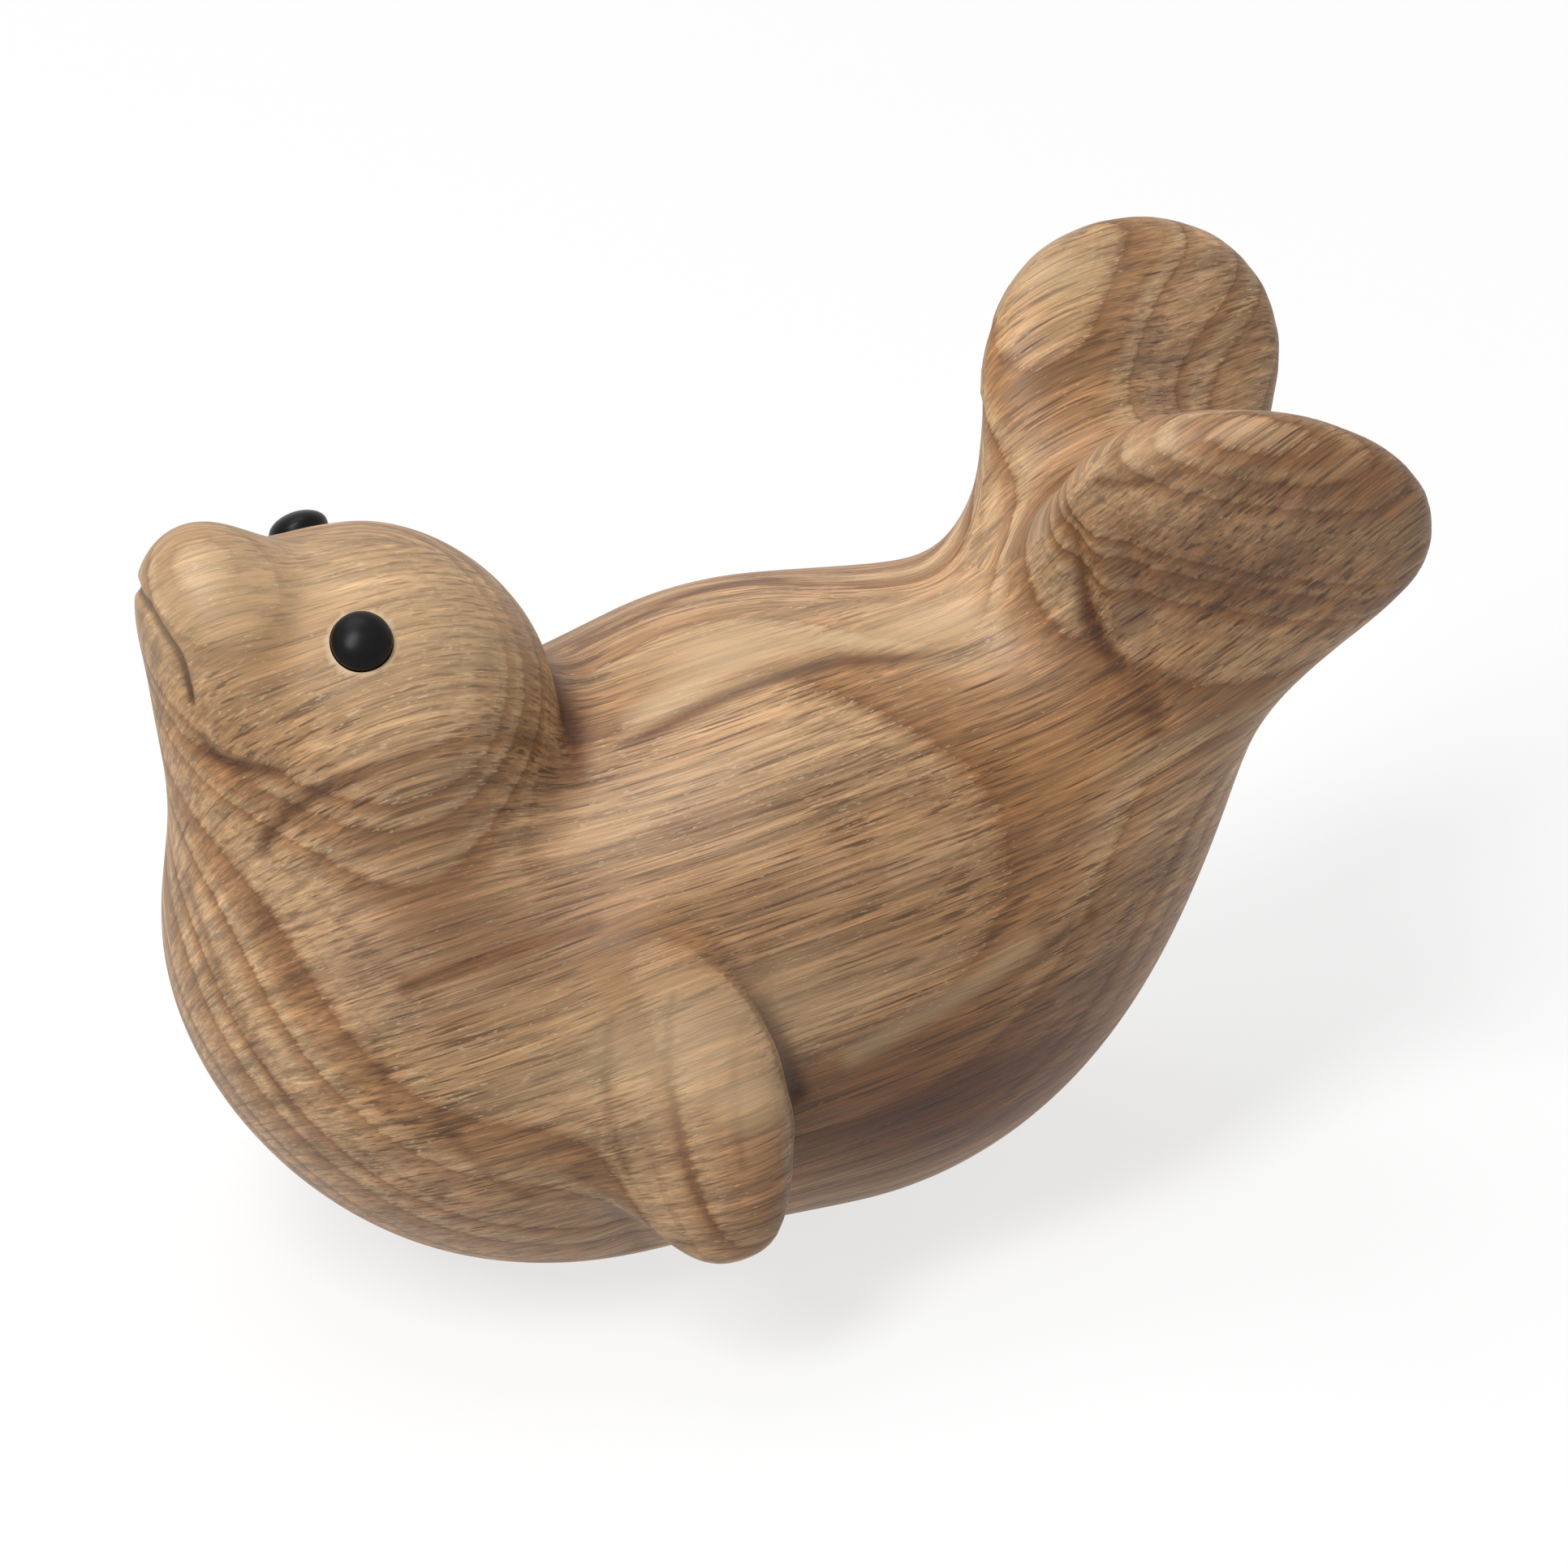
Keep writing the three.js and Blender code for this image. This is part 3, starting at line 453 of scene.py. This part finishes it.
def black_bead():
    """Moulded black plastic, satin from its mould: deep black, one soft highlight and a bloom of dust."""
    made = blank_material("black_moulded_plastic")
    tree = made.node_tree
    place = add(tree, "TexCoord").outputs["Object"]
    bloom = add(tree, "TexNoise", {}, {
        "Vector": place, "Scale": 1 / BLOOM_SIZE, "Detail": 3.0}).outputs["Fac"]
    colour = add(tree, "Mix", {"data_type": "RGBA"}, {
        0: bloom, 6: linear(BEAD_BLACK), 7: linear(BEAD_BLOOM)}).outputs[2]
    rough = add(tree, "MapRange", {}, {"Value": bloom, "To Min": 0.28, "To Max": 0.4}).outputs[0]
    grit = add(tree, "TexNoise", {}, {
        "Vector": place, "Scale": 1 / GRIT_SIZE, "Detail": 2.0}).outputs["Fac"]
    bump = add(tree, "Bump", {}, {"Height": grit, "Strength": 0.15, "Distance": GRIT_RELIEF}).outputs[0]
    finish = add(tree, "BsdfPrincipled", {}, {
        "Base Color": colour, "Roughness": rough, "Normal": bump, "IOR": 1.45, "Specular IOR Level": 0.17})
    add(tree, "OutputMaterial", {}, {"Surface": finish.outputs[0]})
    return made


def seen_directly(tree):
    """1 for rays that show a surface as a picture, 0 for rays that only carry its light."""
    path = add(tree, "LightPath")
    seen = path.outputs["Is Camera Ray"]
    for name in ("Is Glossy Ray", "Is Transmission Ray"):
        seen = add(tree, "Math", {"operation": "ADD", "use_clamp": True}, {
            0: seen, 1: path.outputs[name]}).outputs[0]
    return seen


def paper_floor():
    """White seamless paper: bright by itself to the eye, with the lamps' light and shadow on top."""
    made = blank_material("white_paper")
    tree = made.node_tree
    matt = add(tree, "BsdfDiffuse", {}, {"Color": (PAPER_LIT, PAPER_LIT, PAPER_LIT, 1)}).outputs[0]
    strength = add(tree, "MapRange", {}, {
        "Value": seen_directly(tree), "To Min": PAPER_BOUNCE, "To Max": PAPER_GLOW}).outputs[0]
    glow = add(tree, "Emission", {}, {"Color": linear(WHITE), "Strength": strength}).outputs[0]
    both = add(tree, "AddShader", {}, {0: matt, 1: glow})
    add(tree, "OutputMaterial", {}, {"Surface": both.outputs[0]})
    return made


def deselect():
    if bpy.context.object and bpy.context.object.mode != "OBJECT":
        bpy.ops.object.mode_set(mode="OBJECT")
    bpy.ops.object.select_all(action="DESELECT")


def only(piece):
    """Makes one object the selected and active one."""
    deselect()
    piece.select_set(True)
    bpy.context.view_layer.objects.active = piece


def apply_modifier(piece, kind, **settings):
    only(piece)
    modifier = piece.modifiers.new(kind.lower(), kind)
    for name, value in settings.items():
        setattr(modifier, name, value)
    bpy.ops.object.modifier_apply(modifier=modifier.name)


def select_faces(piece, wanted):
    """Selects the faces for which a test holds, and nothing else."""
    only(piece)
    bpy.ops.object.mode_set(mode="EDIT")
    bpy.ops.mesh.select_mode(type="FACE")
    bpy.ops.mesh.select_all(action="DESELECT")
    bpy.ops.object.mode_set(mode="OBJECT")
    for face in piece.data.polygons:
        face.select = wanted(face)


def faces_down(face):
    return face.normal.z < UNDERSIDE_NORMAL


def points_of(piece):
    flat = np.empty(len(piece.data.vertices) * 3)
    piece.data.vertices.foreach_get("co", flat)
    return flat.reshape(-1, 3)


def eye_seat(node):
    """Axis and sizes of an eye, read from its solid of revolution."""
    points = np.unique(np.round(points_of(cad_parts[node]), SAME_POINT_DIGITS), axis=0)
    middle = points.mean(0)
    spread, directions = np.linalg.eigh(np.cov((points - middle).T))
    # Two of the three spreads are alike, and the axis has the odd one out
    odd = 0 if spread[1] - spread[0] > spread[2] - spread[1] else 2
    axis = directions[:, odd] * np.sign(directions[1, odd] * middle[1])
    heights = (points - middle) @ axis
    radii = np.linalg.norm(points - middle - heights[:, None] * axis, axis=1)
    radius = radii.max()
    wide = radii > SKIRT_SHARE * radius
    level = heights[wide].max()
    deep = heights < heights.min() + PEG_SHARE * (level - heights.min())
    return {
        "axis": Vector(axis),
        "centre": Vector(middle + level * axis),
        "radius": radius,
        "dome": heights.max() - level,
        "skirt": level - heights[wide].min(),
        "peg": level - heights.min(),
        "peg_radius": radii[deep].max(),
    }


def stand(piece, seat):
    """Turns a piece made round +Z onto the eye's axis, in its mesh."""
    turn = seat["axis"].to_track_quat("Z", "Y").to_matrix().to_4x4()
    piece.data.transform(Matrix.Translation(seat["centre"]) @ turn)


def plug_socket(piece, seat):
    """Takes the drilled socket out of the copied surface and closes it with a fan of faces."""
    points = points_of(piece)
    off = points - np.array(seat["centre"])
    axis = np.array(seat["axis"])
    along = off @ axis
    aside = np.linalg.norm(off - along[:, None] * axis, axis=1)
    well_below = -2 * seat["peg"]
    drilled = (aside < seat["radius"] + PLUG_MARGIN) & (along > well_below)
    select_faces(piece, lambda face: any(drilled[v] for v in face.vertices))
    bpy.ops.object.mode_set(mode="EDIT")
    bpy.ops.mesh.delete(type="FACE")
    bpy.ops.mesh.select_mode(type="EDGE")
    bpy.ops.mesh.select_all(action="DESELECT")
    bpy.ops.mesh.select_non_manifold(
        extend=False, use_wire=False, use_boundary=True, use_multi_face=False,
        use_non_contiguous=False, use_verts=False)
    bpy.ops.mesh.edge_face_add()
    bpy.ops.mesh.poke()
    bpy.ops.object.mode_set(mode="OBJECT")
    hub = np.linalg.norm(points_of(piece) - seat["centre"], axis=1).argmin()
    piece.data.vertices[hub].co = seat["centre"]


def cut_socket(piece, seat):
    """Drills a counterbore for the skirt of the eye and a hole for its peg."""
    deselect()
    bpy.ops.mesh.primitive_cylinder_add(
        vertices=EYE_SEGMENTS, radius=seat["radius"] + SOCKET_GAP,
        depth=seat["skirt"] + SOCKET_GAP + SOCKET_REACH,
        location=(0, 0, (SOCKET_REACH - seat["skirt"] - SOCKET_GAP) / 2))
    cutter = bpy.context.object
    bpy.ops.object.transform_apply()
    select_faces(cutter, faces_down)
    bpy.ops.object.mode_set(mode="EDIT")
    bpy.ops.mesh.inset(thickness=seat["radius"] - seat["peg_radius"], depth=0)
    bpy.ops.mesh.extrude_region_move(
        TRANSFORM_OT_translate={"value": (0, 0, seat["skirt"] - seat["peg"])})
    bpy.ops.object.mode_set(mode="OBJECT")
    stand(cutter, seat)
    apply_modifier(piece, "BOOLEAN", operation="DIFFERENCE", object=cutter, solver="EXACT")
    bpy.data.objects.remove(cutter)


def store(piece, name, values):
    """Keeps one number for each vertex as an attribute that the material reads."""
    attribute = piece.data.attributes.new(name, "FLOAT", "POINT")
    attribute.data.foreach_set("value", values.astype(np.float32))


def normals_of(piece):
    return np.array([n.vector for n in piece.data.vertex_normals])


def neighbours(piece):
    """The ends of every edge, and how many edges meet at each vertex."""
    mesh = piece.data
    ends = np.empty(len(mesh.edges) * 2, dtype=int)
    mesh.edges.foreach_get("vertices", ends)
    a, b = ends.reshape(-1, 2).T
    return a, b, np.maximum(np.bincount(ends, minlength=len(mesh.vertices)), 1)


def blurred(values, links, passes):
    """Spreads one number per vertex over its neighbours."""
    a, b, count = links
    for _ in range(passes):
        values = (np.bincount(a, values[b], len(values)) + np.bincount(b, values[a], len(values))) / count
    return values


def tail_share(piece):
    """How far each vertex belongs to the tail, from 0 to 1."""
    return np.clip((points_of(piece)[:, 0] - TAIL_FROM) / (TAIL_FULL - TAIL_FROM), 0, 1)[:, None]


def fair(piece, passes, share):
    """Takes the facets out of the surface, by a share of 0 to 1, and gives back the volume lost."""
    before = points_of(piece)
    apply_modifier(piece, "SMOOTH", factor=0.5, iterations=passes)
    after = points_of(piece)
    normals = normals_of(piece)
    lost = blurred(((before - after) * normals).sum(1), neighbours(piece), passes // 2)
    after += lost[:, None] * normals
    piece.data.vertices.foreach_set("co", np.clip(before + share * (after - before), *cad_box).ravel())
    piece.data.update()


def painted_hollow_shade(piece):
    """How hollow the surface is at each vertex, from 0 to 1, which sets the painted shade in its hollows."""
    points = points_of(piece)
    normals = normals_of(piece)
    links = neighbours(piece)
    a, b, count = links
    mean = np.stack([blurred(axis, links, 1) for axis in points.T], 1)
    lengths = np.linalg.norm(points[a] - points[b], axis=1)
    step = (np.bincount(a, lengths, len(points)) + np.bincount(b, lengths, len(points))) / count
    bend = ((mean - points) * normals).sum(1) / step ** 2
    bend = blurred(bend, links, HOLLOW_BLUR)
    return np.clip((bend - HOLLOW_FROM) / (HOLLOW_FULL - HOLLOW_FROM), 0, 1)


def camera_axes():
    """Direction back to the camera, and the picture's right and up."""
    level = math.cos(CAMERA_ELEVATION)
    back = Vector((
        math.sin(CAMERA_AZIMUTH) * level, math.cos(CAMERA_AZIMUTH) * level, math.sin(CAMERA_ELEVATION)))
    right = Vector((0, 0, 1)).cross(back).normalized()
    return back, right, back.cross(right)


def under_pixels(piece, pixels):
    """Points of the surface that lie under pixels of the photograph."""
    tree = BVHTree.FromObject(piece, bpy.context.evaluated_depsgraph_get())
    back, right, up = camera_axes()
    eye = CAMERA_TARGET + back * CAMERA_DISTANCE
    found = []
    for x, y in pixels:
        across = (x - PHOTO_SIZE / 2) / PHOTO_PIXELS_PER_MM * MM
        down = (y - PHOTO_SIZE / 2) / PHOTO_PIXELS_PER_MM * MM
        hit = tree.ray_cast(eye, (CAMERA_TARGET + right * across - up * down - eye).normalized())[0]
        if hit:
            found.append(np.array(hit))
    return np.array(found)


def path_distance(points, path):
    """Distance of each point from a path, and how far along the path it lies, from 0 to 1."""
    nearest = np.full(len(points), np.inf)
    along = np.zeros(len(points))
    for k in range(len(path) - 1):
        run = path[k + 1] - path[k]
        t = np.clip((points - path[k]) @ run / (run @ run), 0, 1)
        away = np.linalg.norm(points - path[k] - t[:, None] * run, axis=1)
        closer = away < nearest
        nearest[closer] = away[closer]
        along[closer] = ((k + t) / (len(path) - 1))[closer]
    return nearest, along


def rounded(path):
    """Cuts the corners of a path, and then the corners that this leaves."""
    for _ in range(CORNER_PASSES):
        early = path[:-1] * (1 - CORNER_CUT) + path[1:] * CORNER_CUT
        late = path[:-1] * CORNER_CUT + path[1:] * (1 - CORNER_CUT)
        path = np.concatenate([path[:1], np.stack([early, late], 1).reshape(-1, 3), path[-1:]])
    return path


def both_sides(path):
    return path, path * np.array([1, -1, 1])


def refine_mouth(piece):
    """Finer faces round the mouth, where the marks are thin."""
    marks = []
    for path, *_ in (MOUTH, MOUTH_CORNER):
        marks.extend(both_sides(rounded(under_pixels(piece, path))))
    points = points_of(piece)
    near = np.min([path_distance(points, mark)[0] for mark in marks], axis=0) < MOUTH_AREA
    select_faces(piece, lambda face: all(near[v] for v in face.vertices))
    bpy.ops.object.mode_set(mode="EDIT")
    bpy.ops.mesh.subdivide(number_cuts=1, ngon=False, smoothness=0)
    bpy.ops.object.mode_set(mode="OBJECT")


def spots(piece, marks):
    """How strongly each vertex is coloured by round spots, drawn out along the grain."""
    points = points_of(piece)
    strength = np.zeros(len(points))
    for pixel, reach, amount in marks.values():
        spread = np.array([reach * STAIN_STRETCH, reach, reach])
        off = (points - under_pixels(piece, [pixel])[0]) / spread
        strength = np.maximum(strength, amount * np.exp(-(off ** 2).sum(1)))
    return strength


def carve_creases(piece):
    """Cuts the creases on both sides, and returns what the material reads at each vertex: how dark it is
    drawn, from darker wood and from painted shade in the creases and on shaded sides, how pale, from paler
    wood and from painted light on lit faces, how far it is end grain, and whether it faces right."""
    points = points_of(piece)
    normals = normals_of(piece)
    sink = np.zeros(len(points))
    dark = spots(piece, STAINS_AND_SHADE)
    pale = spots(piece, PALE_AND_LIT)
    for pixels, reach, darkening in FIGURE.values():
        away, along = path_distance(points, rounded(under_pixels(piece, pixels)))
        band = darkening * np.exp(-(away / reach) ** 2)
        band *= np.clip(np.minimum(along, 1 - along) / FIGURE_FADE, 0, 1)
        dark = np.maximum(dark, band)
        pale = np.maximum(pale, -band)
    marks = [(rounded(under_pixels(piece, pixels)), *rest) for pixels, *rest in CREASES]
    for path, depth, reach, darkening, fading in marks:
        for side in both_sides(path):
            away, along = path_distance(points, side)
            trace = np.exp(-(away / reach) ** 2) * (1 - along) ** fading
            sink = np.maximum(sink, depth * trace) if depth > 0 else sink + depth * trace
            # Painted shade along each crease
            dark = np.maximum(dark, darkening * trace)
    piece.data.vertices.foreach_set("co", (points - sink[:, None] * normals).ravel())
    piece.data.update()
    end = np.clip((normals[:, 0] - END_GRAIN_FROM) / (END_GRAIN_FULL - END_GRAIN_FROM), 0, 1)
    return {"stain_and_shade": dark, "pale": pale, "end": end, "right": normals[:, 1] < 0}


def socket_rims(piece, seats):
    """Where drilling has bared fresh wood, in a narrow ring at the rim of each socket."""
    points = points_of(piece)
    aside = [np.linalg.norm(np.cross(points - seat["centre"], seat["axis"]), axis=1) for seat in seats]
    rim = [abs(away - seat["radius"] - SOCKET_GAP) < SOCKET_RIM for away, seat in zip(aside, seats)]
    below_eyes = seats[0]["centre"].z - 2 * seats[0]["radius"]
    return np.logical_or(*rim) & (points[:, 2] > below_eyes)


def carved_seal(material, seats):
    """The carving: the solid's facets are rounded into one smooth surface, then worked over."""
    piece = bpy.data.objects.new("carved_seal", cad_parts["carved_body"].data.copy())
    bpy.context.scene.collection.objects.link(piece)
    only(piece)
    bpy.ops.object.mode_set(mode="EDIT")
    bpy.ops.mesh.select_all(action="SELECT")
    bpy.ops.mesh.remove_doubles(threshold=WELD_DISTANCE)
    bpy.ops.mesh.tris_convert_to_quads(face_threshold=QUAD_ANGLE, shape_threshold=QUAD_ANGLE)
    bpy.ops.object.mode_set(mode="OBJECT")
    for seat in seats:
        plug_socket(piece, seat)
    apply_modifier(piece, "SUBSURF", levels=2, render_levels=2)
    apply_modifier(piece, "REMESH", mode="VOXEL", voxel_size=FACE_SIZE)
    fair(piece, BODY_SMOOTHING, 1)
    fair(piece, TAIL_SMOOTHING, tail_share(piece))
    refine_mouth(piece)
    for name, values in carve_creases(piece).items():
        store(piece, name, values)
    # Painted shade in the hollows
    store(piece, "hollow", painted_hollow_shade(piece))
    for seat in seats:
        cut_socket(piece, seat)
    store(piece, "bare", socket_rims(piece, seats))
    only(piece)
    bpy.ops.object.shade_smooth_by_angle(angle=WOOD_SHARP_EDGE)
    piece.data.materials.clear()
    piece.data.materials.append(material)
    return piece


def eye_bead(name, seat, material):
    """A dome with a skirt and a peg, moulded in one."""
    deselect()
    bpy.ops.mesh.primitive_uv_sphere_add(segments=EYE_SEGMENTS, ring_count=EYE_RINGS, radius=seat["radius"])
    piece = bpy.context.object
    piece.name = name
    bpy.ops.object.mode_set(mode="EDIT")
    bpy.ops.mesh.select_all(action="SELECT")
    bpy.ops.mesh.bisect(plane_co=(0, 0, 0), plane_no=(0, 0, 1), clear_inner=True, use_fill=True)
    bpy.ops.object.mode_set(mode="OBJECT")
    piece.data.transform(Matrix.Diagonal((1, 1, seat["dome"] / seat["radius"], 1)))
    select_faces(piece, faces_down)
    bpy.ops.object.mode_set(mode="EDIT")
    bpy.ops.mesh.extrude_region_move(TRANSFORM_OT_translate={"value": (0, 0, -seat["skirt"])})
    bpy.ops.mesh.inset(thickness=seat["radius"] - seat["peg_radius"], depth=0)
    bpy.ops.mesh.extrude_region_move(TRANSFORM_OT_translate={"value": (0, 0, seat["skirt"] - seat["peg"])})
    bpy.ops.object.mode_set(mode="OBJECT")
    stand(piece, seat)
    only(piece)
    bpy.ops.object.shade_smooth_by_angle(angle=EYE_SHARP_EDGE)
    piece.data.materials.append(material)
    return piece


def keep(piece, node):
    """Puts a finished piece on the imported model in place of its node."""
    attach(piece, "root")
    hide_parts(node)


def lamp(name, direction, size, power):
    data = bpy.data.lights.new(name, "AREA")
    data.shape = "RECTANGLE"
    data.size, data.size_y = size
    data.energy = power
    made = bpy.data.objects.new(name, data)
    back = Vector(direction).normalized()
    made.location = CAMERA_TARGET + back * LAMP_DISTANCE
    made.rotation_euler = (-back).to_track_quat("-Z", "Y").to_euler()
    bpy.context.scene.collection.objects.link(made)


def studio():
    """White paper, a tall softbox high on the head's side, a broad one overhead, and a dim even room."""
    deselect()
    bpy.ops.mesh.primitive_plane_add(size=PAPER_SIZE)
    floor = bpy.context.object
    floor.name = "floor"
    floor.data.materials.append(paper_floor())
    lamp("key_softbox", KEY_DIRECTION, KEY_SIZE, KEY_POWER)
    lamp("top_softbox", TOP_DIRECTION, TOP_SIZE, TOP_POWER)
    world = bpy.data.worlds.new("pale_room")
    bpy.context.scene.world = world
    world.use_nodes = True
    tree = world.node_tree
    tree.nodes.clear()
    strength = add(tree, "MapRange", {}, {
        "Value": seen_directly(tree), "To Min": ROOM_LIGHT, "To Max": 1.0}).outputs[0]
    sky = add(tree, "Background", {}, {"Color": linear(WHITE), "Strength": strength})
    add(tree, "OutputWorld", {}, {"Surface": sky.outputs[0]})


def camera():
    data = bpy.data.cameras.new("photo_camera")
    half_frame = PHOTO_SIZE / 2 / PHOTO_PIXELS_PER_MM * MM
    data.sensor_width = SENSOR_WIDTH
    data.lens = SENSOR_WIDTH / 2 * CAMERA_DISTANCE / half_frame
    made = bpy.data.objects.new("photo_camera", data)
    back = camera_axes()[0]
    made.location = CAMERA_TARGET + back * CAMERA_DISTANCE
    made.rotation_euler = (-back).to_track_quat("-Z", "Y").to_euler()
    bpy.context.scene.collection.objects.link(made)
    bpy.context.scene.camera = made


bpy.context.scene.view_settings.view_transform = "Standard"
camera()
studio()
left_seat = eye_seat("left_eye")
right_seat = eye_seat("right_eye")
oak = oiled_oak()
bead = black_bead()
keep(carved_seal(oak, [left_seat, right_seat]), "carved_body")
keep(eye_bead("left_bead", left_seat, bead), "left_eye")
keep(eye_bead("right_bead", right_seat, bead), "right_eye")
